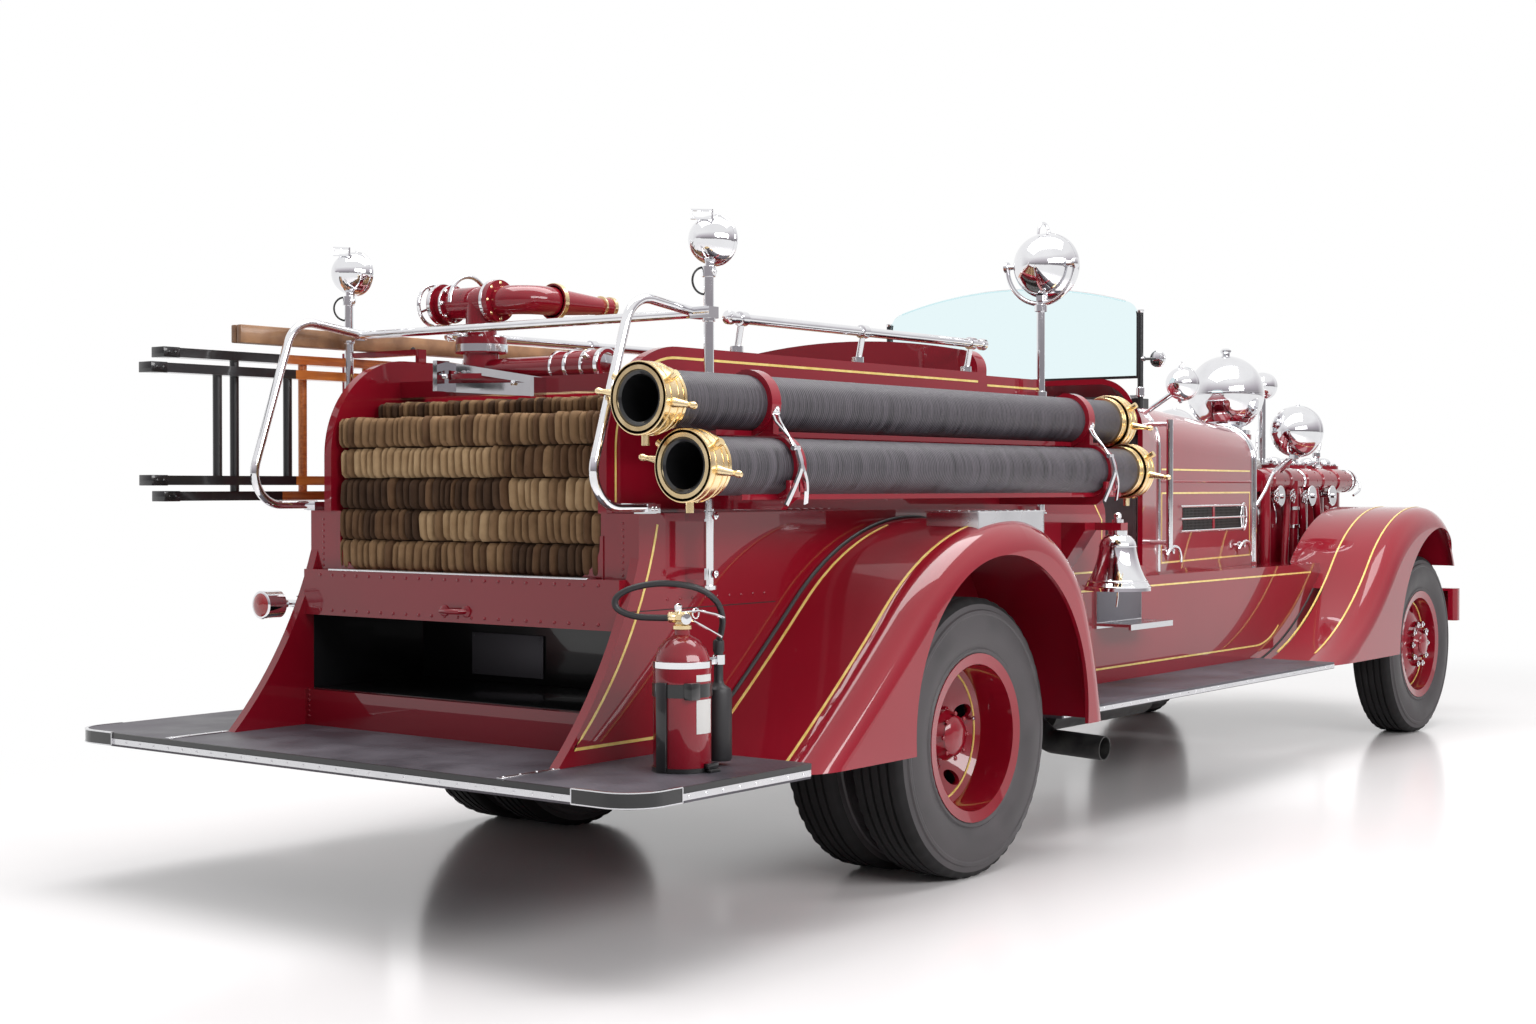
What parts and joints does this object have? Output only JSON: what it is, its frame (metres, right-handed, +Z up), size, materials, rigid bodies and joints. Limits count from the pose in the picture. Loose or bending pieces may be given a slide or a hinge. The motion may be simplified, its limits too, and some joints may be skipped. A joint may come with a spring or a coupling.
{
  "type": "open-cab fire engine with a front piston pump",
  "caption": "Open-cab 1930s fire engine with a front piston pump, air dome, deck gun, suction hoses, ladders and rear step.",
  "frame": {"origin": "on the ground, midway along the overall length and width", "axes": "+X forward, +Y to the vehicle's left, +Z up"},
  "size_m": [7.896, 2.524, 2.384],
  "materials": {
    "red_paint": "gloss",
    "black_paint": "satin",
    "chrome": "polished",
    "brass": "polished",
    "rubber": "matte",
    "mat_rubber": "matte",
    "cast_iron": "satin",
    "glass": "polished",
    "leather": "satin",
    "canvas": "matte",
    "wood": "gloss",
    "dark_steel": "satin",
    "aluminium": "satin"
  },
  "bodies": {
    "chassis": {"frame_rails": "black_paint", "front_bumper": "red_paint", "front_axle": "black_paint", "leaf_springs": "dark_steel", "rear_axle": "black_paint", "engine": "cast_iron", "rear_fenders": "red_paint", "front_fenders": "red_paint", "lower_body": "red_paint", "hose_body": "red_paint", "hose_load": "canvas", "rear_step": "mat_rubber", "running_boards": "mat_rubber", "aprons": "red_paint", "cowl": "red_paint", "radiator": "chrome", "windshield_glass": "glass", "windshield_frame": "black_paint", "cab_body": "red_paint", "seat": "leather", "steering_wheel": "black_paint", "grab_rails": "chrome", "side_rails": "chrome", "spot_lamps": "chrome", "searchlight": "chrome", "suction_hoses": "rubber", "suction_couplings": "brass", "suction_rack": "red_paint", "ladder_base": "wood", "ladder_fly": "wood", "ladder_folded": "wood", "ladder_racks": "red_paint", "gun_base": "red_paint", "gun_bracket": "chrome", "extinguisher": "red_paint", "bell_bracket": "red_paint", "cab_steps": "aluminium", "extinguisher_horn": "black_paint", "bell": "chrome", "exhaust": "dark_steel", "pump_body": "red_paint", "pump_fittings": "chrome", "air_dome": "chrome", "headlamps": "chrome", "siren": "chrome"},
    "hood_left": {"hood_left": "red_paint"},
    "hood_right": {"hood_right": "red_paint"},
    "gun_head": {"gun_head": "red_paint"},
    "gun_barrel": {"gun_barrel": "red_paint"},
    "knuckle_left": {"knuckle_left": "black_paint"},
    "knuckle_right": {"knuckle_right": "black_paint"},
    "front_wheel_left": {"front_wheel_left": "red_paint", "front_tyre_left": "rubber"},
    "front_wheel_right": {"front_wheel_right": "red_paint", "front_tyre_right": "rubber"},
    "rear_wheels_left": {"rear_wheel_left": "red_paint", "rear_tyres_left": "rubber"},
    "rear_wheels_right": {"rear_wheel_right": "red_paint", "rear_tyres_right": "rubber"}
  },
  "joints": [
    {"name": "steer_left", "type": "hinge", "parent": "chassis", "child": "knuckle_left", "pos_m": [3.068, 0.65, 0.485], "axis": [0, 0, 1], "range_deg": [-28, 28]},
    {"name": "front_spin_left", "type": "hinge", "parent": "knuckle_left", "child": "front_wheel_left", "pos_m": [3.068, 0.8, 0.485], "axis": [0, 1, 0], "continuous": true},
    {"name": "rear_spin_left", "type": "hinge", "parent": "chassis", "child": "rear_wheels_left", "pos_m": [-2.012, 0.907, 0.485], "axis": [0, 1, 0], "continuous": true},
    {"name": "steer_right", "type": "hinge", "parent": "chassis", "child": "knuckle_right", "pos_m": [3.068, -0.65, 0.485], "axis": [0, 0, 1], "range_deg": [-28, 28]},
    {"name": "front_spin_right", "type": "hinge", "parent": "knuckle_right", "child": "front_wheel_right", "pos_m": [3.068, -0.8, 0.485], "axis": [0, 1, 0], "continuous": true},
    {"name": "rear_spin_right", "type": "hinge", "parent": "chassis", "child": "rear_wheels_right", "pos_m": [-2.012, -0.907, 0.485], "axis": [0, 1, 0], "continuous": true},
    {"name": "hood_lift_left", "type": "hinge", "parent": "chassis", "child": "hood_left", "pos_m": [0.513, 0.0145, 1.74], "axis": [0.9988, 0, -0.0492], "range_deg": [0, 55]},
    {"name": "hood_lift_right", "type": "hinge", "parent": "chassis", "child": "hood_right", "pos_m": [0.513, -0.0145, 1.74], "axis": [-0.9988, 0, 0.0492], "range_deg": [0, 55]},
    {"name": "gun_turn", "type": "hinge", "parent": "chassis", "child": "gun_head", "pos_m": [-2.992, 0.27, 1.85], "axis": [0, 0, 1], "continuous": true},
    {"name": "gun_lift", "type": "hinge", "parent": "gun_head", "child": "gun_barrel", "pos_m": [-2.992, 0.194, 1.995], "axis": [0, -1, 0], "range_deg": [0, 70]}
  ],
  "couplings": [
    {"joint": "steer_left", "follows": "steer_right", "ratio": 1}
  ]
}
